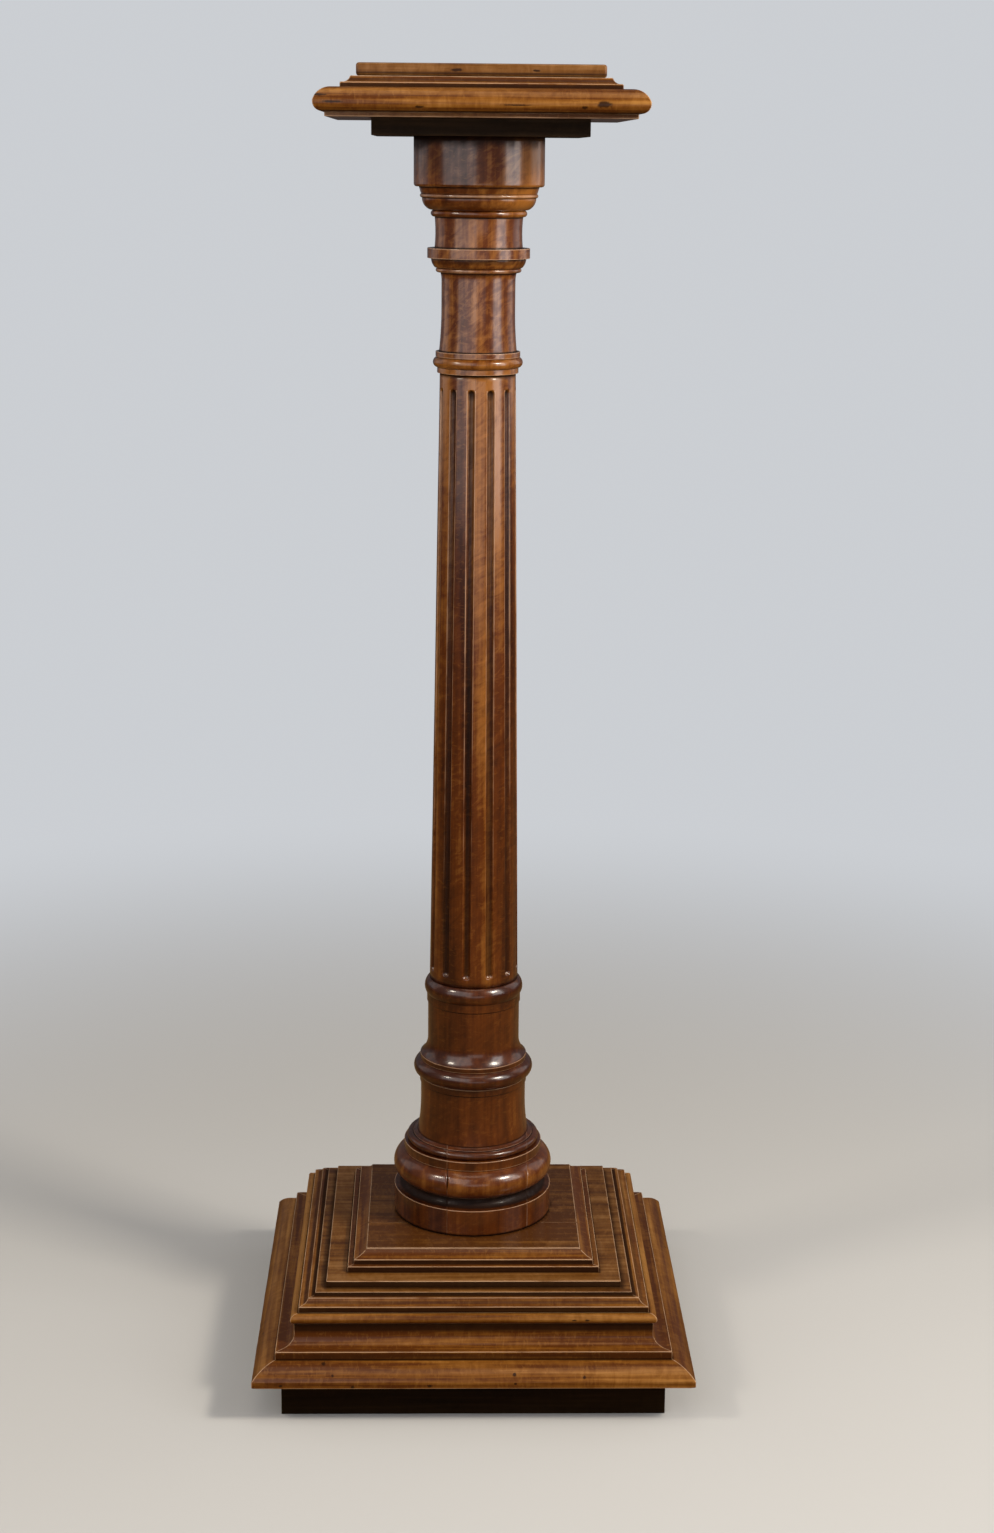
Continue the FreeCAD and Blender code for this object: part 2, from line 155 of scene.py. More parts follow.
# each wood's colours: dark, middle and light for the grain; a pale colour for arrises, which is worn wood
# and also painted highlight on the flutes' lips and lower ends; and a near-black colour that is patina in
# seams and knots, and patina with painted shade in the recesses
woodTones = {
    "moulding": {
        "dark": (0.088, 0.023, 0.0026), "middle": (0.200, 0.071, 0.0085), "light": (0.375, 0.165, 0.034),
        "rubbed": (0.640, 0.410, 0.240), "shadeAndPatina": (0.0200, 0.0055, 0.0006),
        "streak": 0.80, "flow": 0.70, "figure": 0.35, "slant": 0.0, "ring": 0.07, "ringWidth": 4.2,
        "polish": 0.42, "coat": 0.36, "sheen": 0.10, "relief": 0.45},
    "board": {
        "dark": (0.072, 0.022, 0.0032), "middle": (0.152, 0.057, 0.0095), "light": (0.280, 0.130, 0.040),
        "rubbed": (0.560, 0.360, 0.220), "shadeAndPatina": (0.0180, 0.0052, 0.0007),
        "streak": 0.60, "flow": 0.70, "figure": 0.35, "slant": 0.0, "ring": 0.05, "ringWidth": 6.0,
        "polish": 0.44, "coat": 0.30, "sheen": 0.12, "relief": 0.45},
    "turned": {
        "dark": (0.040, 0.0075, 0.0010), "middle": (0.105, 0.0235, 0.0019), "light": (0.300, 0.1080, 0.0170),
        "rubbed": (0.540, 0.320, 0.190), "shadeAndPatina": (0.0060, 0.0015, 0.0003),
        "streak": 0.60, "flow": 0.50, "figure": 0.80, "slant": 0.60, "ring": 0.0,
        "polish": 0.36, "coat": 0.95, "sheen": 0.15, "relief": 0.16},
    "ebonised": {
        "dark": (0.0060, 0.0026, 0.0006), "middle": (0.0140, 0.0062, 0.0015),
        "light": (0.0260, 0.0125, 0.0040),
        "rubbed": (0.050, 0.028, 0.014), "shadeAndPatina": (0.0015, 0.0007, 0.0003),
        "streak": 0.70, "flow": 0.60, "figure": 0.20, "slant": 0.0, "ring": 0.0,
        "polish": 0.62, "coat": 0.0, "sheen": 0.10, "relief": 0.5},
    "inner": {
        "dark": (0.170, 0.095, 0.045), "middle": (0.250, 0.145, 0.072), "light": (0.340, 0.210, 0.112),
        "rubbed": (0.430, 0.300, 0.180), "shadeAndPatina": (0.060, 0.038, 0.022),
        "streak": 0.60, "flow": 0.50, "figure": 0.0, "slant": 0.0, "ring": 0.16, "ringWidth": 4.5,
        "polish": 0.70, "coat": 0.0, "sheen": 0.30, "relief": 0.5}}
# knots, small wormholes and dark streaks: centre and half sizes in millimetres
knots = {
    "moulding": (
        (-49.7, -134.4, 1124.9, 5.5, 5, 1.3), (81.9, -134.7, 1125.4, 3.0, 5, 1.6),
        (97.8, -135.4, 1128.0, 7.5, 5, 3.4), (-130.0, -133.6, 1133.9, 7.0, 5, 1.0),
        (-119.6, -135.4, 1128.6, 10.0, 5, 1.1), (27.6, -135.4, 1127.0, 15.0, 5, 0.7),
        (89.0, -162.5, 86.0, 2.4, 5, 1.2), (100.6, -162.5, 86.0, 2.6, 5, 1.3),
        (-132.3, -180.1, 54.1, 2.2, 3, 2.0), (-124.0, -191.0, 47.7, 1.4, 3, 1.4),
        (-169.3, -195.0, 40.0, 1.9, 3, 1.5), (-106.3, -195.0, 38.9, 2.2, 3, 1.7),
        (35.6, -190.5, 48.1, 2.2, 3, 2.0), (36.4, -195.0, 41.8, 1.8, 3, 1.5),
        (-38.9, -195.0, 40.0, 2.6, 3, 1.6), (97.0, -192.3, 46.4, 1.8, 3, 1.7),
        (195.0, -60.0, 43.0, 3, 1.5, 1.3), (191.0, 74.0, 48.0, 3, 1.4, 1.4),
        (-190.5, -110.0, 48.0, 3, 1.5, 1.5), (-195.0, 30.0, 41.0, 3, 1.6, 1.1),
        (60.0, 191.0, 47.5, 1.4, 3, 1.4), (-90.0, 195.0, 41.0, 1.5, 3, 1.1),
        (135.4, 40.0, 1127.0, 5, 5.0, 1.4), (-70.0, 135.0, 1126.0, 4.5, 5, 1.5)),
    "board": (
        (-20.2, -101.5, 1154.6, 6.0, 4, 1.5), (44.4, -101.5, 1154.6, 4.0, 4, 1.2),
        (52.0, 31.0, 1160.0, 5.0, 8.0, 4), (-60.0, 66.0, 1160.0, 9.0, 3.0, 4))}


# clouds per metre along, across and upwards from the grain
clouds = {
    "flow": (4, 60, 60), "streaks": (6, 210, 210), "flecks": (380, 150, 150), "pores": (120, 1500, 1500),
    "patches": (30, 60, 60)}
# how far each layer hides the colour below it
cover = {"flecks": 0.45, "pores": 0.35, "arris": 0.62, "recess": 0.92, "seam": 0.85, "blot": 0.93}


def objectPlace(finish):
    return finish.add("ShaderNodeTexCoord", output="Object")


def walnut(name, tone, place=None, marks=()):
    # broad flow and fine streaks along the grain, a mottled figure that may slant across it, faint growth
    # rings, pale flecks and dark pores; then pale wear on the arrises, with painted highlight on the flutes'
    # lips and lower ends, dark patina with painted shade in the recesses, dark seams, and knots; the
    # varnish follows the streaks and the figure and is thin in the recesses
    finish = Finish(name)
    grain = place(finish) if place else finish.attribute("grainPlace", "Vector")
    along, across, upwards = finish.axes(grain)
    flow = finish.noise(grain, clouds["flow"], 4, 0.55, 0.5)
    streaks = finish.noise(grain, clouds["streaks"], 5, 0.6)
    leaning = finish.add("ShaderNodeCombineXYZ", {
        0: along * 105 - across * (120 * tone["slant"]), 1: across * 48 + along * (30 * tone["slant"]),
        2: upwards * 48})
    figure = finish.noise(leaning, (1, 1, 1), 4, 0.60, 1.3)
    flecks = finish.noise(grain, clouds["flecks"], 2, 0.5, 0.5).between(0.56, 0.70)
    pores = finish.noise(grain, clouds["pores"]).between(0.60, 0.74)
    patches = finish.noise(grain, clouds["patches"], 4, 0.6)
    figured = finish.attribute("figured")
    shade = (flow - 0.5) * tone["flow"] + (streaks - 0.5) * (figured * 0.6 + 0.4) * tone["streak"] + 0.5
    shade = shade + (figure - 0.5) * figured * tone["figure"] + finish.attribute("tone")
    shade = shade + (patches - 0.5) * 0.20
    if tone["ring"]:
        pithAcross = across - 0.031 + (flow - 0.5) * 0.012
        pithUp = upwards + 0.052
        ringCount = (pithAcross * pithAcross + pithUp * pithUp) ** 0.5 * (1000 / tone["ringWidth"])
        shade = shade - ringCount.math("FRACT", ringCount).between(0.15, 0.98) ** 2.0 * tone["ring"]
    colour = finish.add("ShaderNodeValToRGB", {0: shade}, stops=[
        (0.30, tone["dark"]), (0.50, tone["middle"]), (0.74, tone["light"])])
    colour = finish.blend(flecks * (figured * tone["figure"] * cover["flecks"]), colour, (*tone["light"], 1))
    colour = finish.blend(pores * cover["pores"], colour, (*tone["dark"], 1))
    arris = (finish.attribute("arris") * (patches * 2.6 - 0.30)).between(0.12, 0.85)
    recess = (finish.attribute("recess") * (patches * 0.9 + 0.60)).between(0.06, 0.95)
    seam = finish.attribute("seam")
    # pale arrises: wear, and painted highlight on the flutes; dark recesses: patina and painted shade
    colour = finish.blend(arris * cover["arris"], colour, (*tone["rubbed"], 1))
    colour = finish.blend(recess * cover["recess"], colour, (*tone["shadeAndPatina"], 1))
    colour = finish.blend(seam * cover["seam"], colour, (*tone["shadeAndPatina"], 1))
    dug = seam * 0.6
    if marks:
        spotted = objectPlace(finish)
        ragged = (finish.noise(spotted, (420, 420, 420), 2) - 0.5) * 0.9
        blots = [(spotted.fromSpot(mark[:3], mark[3:]) + ragged).between(1.05, 0.45) for mark in marks]
        blot = blots[0]
        for other in blots[1:]:
            blot = blot.math("MAXIMUM", blot, other)
        colour = finish.blend(blot * cover["blot"], colour, (*tone["shadeAndPatina"], 1))
        dug = dug + blot * 0.5
    rough = (patches - 0.5) * 0.14 + recess * 0.20 + arris * 0.04 + tone["polish"]
    height = streaks * 0.30 - pores * 0.30 - dug + patches * 0.2
    bump = finish.add("ShaderNodeBump", {"Height": height, "Strength": tone["relief"], "Distance": 0.0004})
    gloss = (streaks - 0.5) * 0.8 + (figure - 0.5) * figured * 1.8 + 1.0 - recess * 0.95
    return finish.surface(**{
        "Base Color": colour, "Roughness": rough, "Normal": bump,
        "Coat Weight": gloss * tone["coat"], "Coat Roughness": 0.17, "Specular IOR Level": tone["sheen"]})


def brushedSteel(name):
    # dull steel with turning marks, a little rust in patches
    finish = Finish(name)
    place = objectPlace(finish)
    rust = finish.noise(place, (260, 260, 260), 4, 0.65).between(0.50, 0.68)
    marks = finish.noise(place, (2400, 2400, 300))
    colour = finish.blend(rust, (0.42, 0.41, 0.40, 1), (0.090, 0.034, 0.014, 1))
    bump = finish.add("ShaderNodeBump", {"Height": marks + rust, "Strength": 0.4, "Distance": 0.0002})
    return finish.surface(**{
        "Base Color": colour, "Metallic": 1 - rust * 0.9, "Roughness": rust * 0.35 + marks * 0.15 + 0.30,
        "Normal": bump})


mouldingWood = walnut("moulding_walnut", woodTones["moulding"], marks=knots["moulding"])
boardWood = walnut("board_walnut", woodTones["board"], marks=knots["board"])
turnedWood = walnut("turned_walnut", woodTones["turned"])
ebonisedWood = walnut("ebonised_wood", woodTones["ebonised"])
innerWood = walnut("inner_wood", woodTones["inner"], objectPlace)
screwSteel = brushedSteel("screw_steel")
print("materials made")


def arc(start, end, curve, count):
    # points from start to end, turned about the centre of the arc by equal angles
    across, rise = end - start
    short, long = sorted((abs(across), abs(rise)))
    sweep = 4 * math.atan(curve * math.tan(math.atan2(short, long) / 2))
    length = math.hypot(across, rise)
    away = np.array([rise, -across]) / length
    centre = (start + end) / 2 - away * length / 2 / math.tan(sweep / 2)
    turns = np.linspace(0, sweep, count)
    spoke = start - centre
    return centre + np.stack([
        spoke[0] * np.cos(turns) - spoke[1] * np.sin(turns),
        spoke[0] * np.sin(turns) + spoke[1] * np.cos(turns)], 1)


def drawn(points):
    # evenly spaced points along the outline through (out, up, curve) points
    corners = [np.array(point[:2], float) for point in points]
    runs = [corners[0][None]]
    for start, end, point in zip(corners, corners[1:], points[1:]):
        curve = point[2] if len(point) > 2 else 0
        count = 2 + int(math.dist(start, end) / lineStep)
        run = arc(start, end, curve, count) if curve else np.linspace(start, end, count)
        runs.append(run[1:])
    line = np.concatenate(runs)
    along = np.concatenate([[0], np.cumsum(np.hypot(*np.diff(line, axis=0).T))])
    even = np.linspace(0, along[-1], 2 + int(along[-1] / lineStep))
    return np.stack([np.interp(even, along, line[:, 0]), np.interp(even, along, line[:, 1])], 1)


def eased(line, spread, closed=False):
    # running average with a bell-shaped weight of that spread, which rounds every corner
    reach = int(3 * spread / lineStep)
    weights = np.exp(-0.5 * (np.arange(-reach, reach + 1) * lineStep / spread) ** 2)
    if closed:
        padded = np.concatenate([line[-1 - reach:-1], line, line[1:1 + reach]])
    else:
        padded = np.concatenate([
            2 * line[0] - line[1:1 + reach][::-1], line, 2 * line[-1] - line[-1 - reach:-1][::-1]])
    weights /= weights.sum()
    return np.stack([np.convolve(padded[:, axis], weights, "valid") for axis in (0, 1)], 1)


def spaced(line, longest, fine=()):
    # fewer points: each takes an equal share of the length plus the turning, and the spacing grows with
    # the distance from the nearest sharp corner; fine gives heights to look after as (height, reach, step)
    turnStep = 0.24  # radians of turning that one point may take
    steps = np.diff(line, axis=0)
    lengths = np.hypot(*steps.T)
    bearing = np.unwrap(np.arctan2(steps[:, 1], steps[:, 0]))
    turning = np.abs(np.diff(bearing, prepend=bearing[:1]))
    along = np.cumsum(lengths)
    sharp = along[np.convolve(turning, np.ones(9), "same") > 0.35]
    away = np.full(len(along), float(longest))
    if len(sharp):
        after = np.searchsorted(sharp, along).clip(0, len(sharp) - 1)
        away = np.minimum(np.abs(sharp[after] - along), np.abs(sharp[np.maximum(after - 1, 0)] - along))
    spacing = np.minimum(longest, 0.45 * mm + 0.7 * away)
    for height, reach, step in fine:
        spacing[np.abs(line[1:, 1] - height) < reach] = step
    share = np.concatenate([[0], np.cumsum(lengths / spacing + turning / turnStep)])
    even = np.linspace(0, share[-1], 2 + int(share[-1]))
    return np.stack([np.interp(even, share, line[:, 0]), np.interp(even, share, line[:, 1])], 1)


def standsBack(line, spread):
    # how far each point lies behind the line's own running average: plus in a recess, minus on an arris
    average = eased(line, spread)
    along = np.gradient(average, axis=0)
    outward = np.stack([along[:, 1], -along[:, 0]], 1) / (np.hypot(*along.T)[:, None] + 1e-12)
    return ((average - line) * outward).sum(1)


class Wear:
    # recesses and arrises of a whole outline, joints between its pieces included, read off at its nearest
    # point; the recess mark is dark patina and painted shade; the first boxes are painted shade, dark all
    # over on faces that lie in shadow, as (out from, out to, low, high, amount), and even gives boxes in
    # which both marks are scaled, as (out from, out to, low, high, share), in millimetres
    def __init__(self, points, shadeBoxes=(), even=()):
        self.line = eased(drawn(points), 0.2 * mm)
        fine, middle, broad = (standsBack(self.line, spread * mm) for spread in (1.0, 2.2, 4.5))
        corner = np.clip((fine - 0.08 * mm) / (0.16 * mm), 0, 1)
        corner = np.maximum(corner, 0.85 * np.clip((middle - 0.25 * mm) / (0.55 * mm), 0, 1))
        hollow = np.clip((broad - 0.7 * mm) / (2.4 * mm), 0, 1)
        self.recess = np.maximum(corner, hollow)
        self.arris = np.clip((-fine - 0.17 * mm) / (0.15 * mm), 0, 1)
        out, up = self.line.T / mm
        for near, far, low, high, amount in shadeBoxes:
            level = np.clip(2.5 - np.abs(up - (low + high) / 2) / (high - low) * 4, 0, 1)
            self.recess = np.maximum(self.recess, amount * level * (out > near) * (out < far))
        for near, far, low, high, share in even:
            inside = (out > near) & (out < far) & (up > low) & (up < high)
            self.recess = np.where(inside, self.recess * share, self.recess)
            self.arris = np.where(inside, 0, self.arris)

    def at(self, line):
        apart = (line[:, :1] - self.line[None, :, 0]) ** 2 + (line[:, 1:] - self.line[None, :, 1]) ** 2
        nearest = apart.argmin(1)
        return self.recess[nearest], self.arris[nearest]


def ripple(place, size, seed):
    # smooth unevenness from -1 to 1: a sum of sine waves in seeded directions, about size across
    rng = np.random.default_rng(seed)
    ways = rng.normal(size=(7, 3))
    ways *= (2 * math.pi / size * rng.uniform(0.6, 1.7, 7) / np.linalg.norm(ways, axis=1))[:, None]
    return np.sin(place @ ways.T + rng.uniform(0, 2 * math.pi, 7)).sum(-1) / 3.5


def seededShift(seed):
    # where a piece's pattern starts: anywhere along the grain, a little to the side
    rng = np.random.default_rng(seed)
    return np.array([rng.uniform(-3, 3), rng.uniform(-0.016, 0.016), rng.uniform(-0.012, 0.030)])


def woodPiece(name, place, grain, marks, material, node):
    # rows by columns of points: each row closes on itself and the first and last rows are filled in;
    # the faces are turned round where the walls, seen from the middle, face inwards
    rows, columns = place.shape[:2]
    index = np.arange(rows * columns).reshape(rows, columns)
    ahead = np.roll(index, -1, axis=1)
    walls = np.stack([index[:-1], ahead[:-1], ahead[1:], index[1:]], -1).reshape(-1, 4)
    ends = [index[0][::-1], index[-1]]
    points = place.reshape(-1, 3)
    corners = (points - points.mean(0))[walls]
    facing = np.cross(corners[:, 2] - corners[:, 0], corners[:, 3] - corners[:, 1])
    if (facing * corners.mean(1)).sum() < 0:
        walls, ends = walls[:, ::-1], [end[::-1] for end in ends]
    mesh = bpy.data.meshes.new(name)
    mesh.from_pydata(points, [], walls.tolist() + [end.tolist() for end in ends])
    shape = mesh.attributes.new("grainPlace", "FLOAT_VECTOR", "POINT")
    shape.data.foreach_set("vector", grain.astype(np.float32).ravel())
    for mark, usual in (("recess", 0.0), ("arris", 0.0), ("seam", 0.0), ("tone", 0.0), ("figured", 1.0)):
        value = np.broadcast_to(marks.get(mark, usual), (rows, columns)).astype(np.float32)
        mesh.attributes.new(mark, "FLOAT", "POINT").data.foreach_set("value", value.ravel())
    smooth = np.ones(len(mesh.polygons), bool)
    smooth[-2:] = False
    mesh.polygons.foreach_set("use_smooth", smooth)
    mesh.materials.append(material)
    piece = bpy.data.objects.new(name, mesh)
    bpy.context.scene.collection.objects.link(piece)
    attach(piece, "root")
    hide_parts(node)


def turnedRound(place, degrees):
    # the points turned about the column's axis
    angle = math.radians(degrees)
    turn = np.array([
        [math.cos(angle), -math.sin(angle), 0], [math.sin(angle), math.cos(angle), 0], [0, 0, 1]])
    return place @ turn.T


def sectionOf(node, points):
    # points in millimetres from the member's outer line and its foot, made (half width, height, curve)
    low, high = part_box(node)
    return [(-low.y + out * mm, low.z + up * mm, *curve) for out, up, *curve in points]


def mitredSides(name, node, visible, wear, material, slot, seed, tipWear=0.8 * mm, tone=0.0):
    # a closed section carried along each side; each of its points runs out to the mitre, so the run's
    # half length is the point's own distance from the axis
    for number, (side, turn) in enumerate(sideTurns.items()):
        inner = -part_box(node + "_front")[1].y
        loop = [(inner, visible[0][1]), *visible, (inner, visible[-1][1]), (inner, visible[0][1])]
        line = spaced(eased(drawn(loop), 0.3 * mm, closed=True), 5 * mm)[:-1]
        recess, arris = wear.at(line)
        half = max(point[0] for point in visible)
        fromEnd = np.array([0, 0.35, 0.8, 1.4, 2.6, 4.8, 8.0]) * mm
        middle = np.linspace(-1, 1, 30)[1:-1] * (half - 12 * mm)
        stations = np.concatenate([fromEnd - half, middle, (half - fromEnd)[::-1]]) / half
        share, out, up = stations[:, None], line[None, :, 0], line[None, :, 1]
        gap = (1 - np.abs(share)) * out
        tip = np.exp(-(gap / (2.2 * mm)) ** 2)
        worn = out - tipWear * tip * arris
        spot = np.stack([share * worn, -worn + 0 * share, up + 0 * share], -1)
        seen = np.clip((out - inner) / (4 * mm), 0, 1) * (1 - tip)
        spot[..., 1] += (ripple(spot * [1, 0.2, 0.2], 0.07, seed + number) + 1) * 0.07 * mm * seen
        grain = np.stack([spot[..., 0], half + spot[..., 1], spot[..., 2] - visible[0][1]], -1)
        edge = np.exp(-(gap / (0.7 * mm)) ** 2) * (out > inner + 1 * mm)
        marks = {
            "recess": (recess + 0 * share) * (1 - 0.6 * edge), "arris": np.maximum(arris, 0.75 * edge),
            "tone": tone + 0.04 * math.sin(7 * (seed + number))}
        woodPiece(
            name + "_" + side, turnedRound(spot, turn), grain + seededShift(seed + number), marks,
            material, node + "_" + side)


def detailed(reach, step, lines=()):
    # positions from -reach to reach, closer together near both ends and near the given lines
    places = [np.linspace(-reach, reach, 2 + int(2 * reach / step))]
    near = np.array([0.3, 0.8, 1.5, 2.8]) * mm
    places += [reach - near, near - reach]
    for line in lines:
        if abs(line) < reach - 4 * mm:
            places.append(line + np.array([-3.0, -1.4, -0.6, 0, 0.6, 1.4, 3.0]) * mm)
    return np.unique(np.round(np.concatenate(places), 5))


def slab(name, node, material, seed, ease=0.5, step=4.0, lines=(), sunk=None, tone=0.0, worn=None):
    # a board with rounded edges: its section, a rounded rectangle whose corners have fixed centres, is
    # carried along X, and near both ends the corners' radius shrinks by the same quarter round; more
    # points lie at the given lines, sunk gives the dark marks of the recesses, patina and painted shade,
    # and worn scales the arrises
    low, high = (np.array(corner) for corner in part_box(node))
    ease, step = ease * mm, step * mm
    centre, half = (low + high) / 2, (high - low) / 2
    core = half - ease
    quarter = np.linspace(0, math.pi / 2, 5)[:-1]
    endPlace, endRadius = half[0] - ease * (1 - np.cos(quarter)), ease * np.sin(quarter)
    bothWays = [side * place * mm for place in lines for side in (-1, 1)]
    length = detailed(core[0], step, bothWays)
    stations = np.concatenate([-endPlace, length, endPlace[::-1]])
    radius = np.concatenate([endRadius, np.full(len(length), ease), endRadius[::-1]])[:, None, None]
    thin = np.linspace(0, 1, 4)[1:-1]
    wide = (detailed(core[1], step, bothWays)[1:-1] / core[1] + 1) / 2
    corners = np.array([(1, -1), (1, 1), (-1, 1), (-1, -1)]) * core[1:]
    runs = []
    for number, share in enumerate((thin, wide, thin, wide)):
        start, end = corners[number], corners[(number + 1) % 4]
        bend = np.radians(np.linspace(number * 90 - 90, number * 90, 5))
        way = np.stack([np.cos(bend), np.sin(bend)], 1)
        flat = start + (end - start) * share[:, None]
        runs.append(np.concatenate([np.broadcast_to(start, (5, 2)), way], 1))
        runs.append(np.concatenate([flat, np.broadcast_to(way[-1], flat.shape)], 1))
    ring = np.concatenate(runs)
    loop = ring[None, :, :2] + radius * ring[None, :, 2:]
    spot = np.concatenate([np.broadcast_to(stations[:, None, None], (*loop.shape[:2], 1)), loop], -1)
    apart = np.sort(half - np.abs(spot), axis=-1)
    marks = {"arris": np.exp(-(apart[..., 1] / (0.75 * mm)) ** 2), "tone": tone}
    place = spot + centre
    if worn:
        marks["arris"] = marks["arris"] * worn(place)
    if sunk:
        marks["recess"] = sunk(place)
        marks["arris"] = marks["arris"] * (1 - marks["recess"])
    inwards = np.sign(spot[..., 2]) * (ripple(place, 0.11, seed) + 1) * 0.05 * mm
    place[..., 2] -= inwards * np.clip((apart[..., 1] - ease) / (3 * mm), 0, 1)
    woodPiece(name, place, spot + seededShift(seed), marks, material, node)


def besideSquare(place, line, spread):
    # 1 at a square line round the axis, fading over spread millimetres
    away = np.abs(place[..., :2]).max(-1) - line * mm
    return np.exp(-(away / (spread * mm)) ** 2)


def besideRound(place, radius, spread):
    # 1 at a circle round the axis, fading over spread millimetres
    away = np.hypot(place[..., 0], place[..., 1]) - radius * mm
    return np.exp(-(away / (spread * mm)) ** 2)


print("helpers ready")

base = {
    "plinth": [(0, 0), (0, 37.2)],
    "ovolo": [(0, 0), (0, 6), (-19.6, 18, softRound)],
    "hollow": [(0, 0), (0, 7.3), (-7, 7.3), (-16, 16.6, fullHollow), (-16, 26.8)],
    "bullnose": [(-4.2, 0), (0, 4.2, fullRound), (-4.2, 8.4, fullRound)],
    "smallHollow": [(0, 0), (0, 5.5), (-2, 5.5), (-7.9, 9.5, fullHollow), (-7.9, 10.5)],
    "capSlope": [(0, 0), (0, 5.4), (-5.3, 5.4), (-5.3, 9.8), (-16.5, 15.2, softHollow)]}
baseNodes = {
    "plinth": "plinth", "ovolo": "base_lower_moulding", "hollow": "base_middle_moulding",
    "bullnose": "base_bullnose", "smallHollow": "base_upper_moulding", "capSlope": "base_cap_moulding"}
sections = {key: sectionOf(baseNodes[key] + "_front", points) for key, points in base.items()}


def rimOf(node, radius=None):
    # a board's square rim, or a turned piece's edge, as outline points
    low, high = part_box(node)
    out = -low.y if radius is None else radius * mm
    return [(out, low.z), (out, high.z)]


coreRim, capRim, footRim = rimOf("base_core_board"), rimOf("base_cap_board_front"), rimOf("foot_middle", 73)
# the dark boxes below are painted shade on the narrow faces in shadow under the overhanging members
baseWear = Wear(
    sections["plinth"] + sections["ovolo"] + sections["hollow"] + sections["bullnose"]
    + sections["smallHollow"] + [(coreRim[0][0], sections["smallHollow"][-1][1]), coreRim[1]]
    + rimOf("base_tread_board") + sections["capSlope"]
    + [(sections["capSlope"][-1][0], capRim[1][1]), footRim[0]],
    shadeBoxes=(
        (170, 176, 55.2, 61.2, 0.5), (158, 166, 75.6, 82.0, 0.95), (154, 157, 90.2, 95.0, 0.95),
        (141, 145, 99.9, 101.7, 0.95), (112, 115, 109.8, 114.3, 0.9), (106, 109, 115.2, 118.7, 0.9),
        (146, 154, 96.2, 98.6, 0.45)))
baseTones = {
    "plinth": 0, "ovolo": -0.02, "hollow": -0.12, "bullnose": 0.13, "smallHollow": -0.12, "capSlope": -0.16}
capEdge, treadEdge, coreEdge = 113.4, 131.8, 141.2  # half widths, in millimetres
capSeam = -41.2  # joint of the two cap boards
for number, key in enumerate(base):
    dark = key == "plinth"
    mitredSides(
        key, baseNodes[key], sections[key], baseWear, ebonisedWood if dark else mouldingWood,
        "dark_wood" if dark else "moulding_wood", 100 + 10 * number, tone=baseTones[key])
# the sunk marks of these boards are dark patina and painted shade along the corners where boards meet, under
# their edges and round the foot's disc
slab("core_rim", "base_core_board", boardWood, 31, ease=0.4, step=8,
     sunk=lambda place: 0.8 * besideSquare(place, treadEdge, 4)
     + 0.9 * besideSquare(place, coreEdge, 0.4) * (place[..., 2] < 0.1032))
slab("tread", "base_tread_board", boardWood, 32, ease=0.8, lines=(capEdge, 122),
     sunk=lambda place: 0.9 * besideSquare(place, capEdge, 1.6) * (place[..., 2] > 0.107)
     + 0.95 * besideSquare(place, treadEdge, 0.4) * (place[..., 2] < 0.1091))
for number, half in enumerate(("front", "back")):
    slab("cap_board_" + half, "base_cap_board_" + half, boardWood, 34 + number, ease=0.5,
         step=2.5, tone=(-0.16, -0.15)[number],
         worn=lambda place: 1 - 0.7 * np.exp(-((place[..., 1] / mm - capSeam) / 2) ** 2),
         sunk=lambda place: 0.75 * besideRound(place, 73.5, 1.2) * (place[..., 2] > 0.120))
print("base built")

foot = {
    "disc": 73.0, "scotiaStart": 69.5, "scotiaEnd": 62.5, "torus": 73.5, "torusSection": 13.5,
    "fillet": 63.8, "smallTorus": 61.0, "smallSection": 3.5, "neck": 55.4, "top": 51.5,
    "heights": (24.7, 8.2, 27.0, 8.6, 7.0, 0.9, 1.8),
    "seams": (-24.0, 50.0), "groove": 0.25, "crack": 1.6, "crackHeight": (178.0, 7.0)}


def beadOf(reach, bottom, section):
    # half-round stretch that stands out to reach
    return [
        (reach - section, bottom), (reach, bottom + section, fullRound),
        (reach - section, bottom + 2 * section, fullRound)]


def footOutline(settings):
    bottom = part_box("foot_middle")[0].z / mm
    levels = bottom + np.cumsum(settings["heights"])
    points = [
        (settings["disc"], bottom), (settings["disc"], levels[0]), (settings["scotiaStart"], levels[0]),
        (settings["scotiaEnd"], levels[1], fullHollow),
        *beadOf(settings["torus"], levels[1], settings["torusSection"]),
        (settings["fillet"], levels[2]), (settings["fillet"], levels[3]),
        *beadOf(settings["smallTorus"], levels[3], settings["smallSection"]),
        (settings["neck"], levels[4]), (settings["neck"], levels[5]),
        (settings["top"], levels[6], fullHollow)]
    return [(out * mm, up * mm, *curve) for out, up, *curve in points]


shaft = {
    "tenon": 21.0, "fluteCount": 12, "fluteTurn": -10.5, "fluteRadius": 3.6, "fluteSetOut": 0.8,
    "fluteEnds": (12.0, 16.0), "taper": (40.4, 33.1), "fluted": (353.0, 904.2), "softEdge": 0.22}


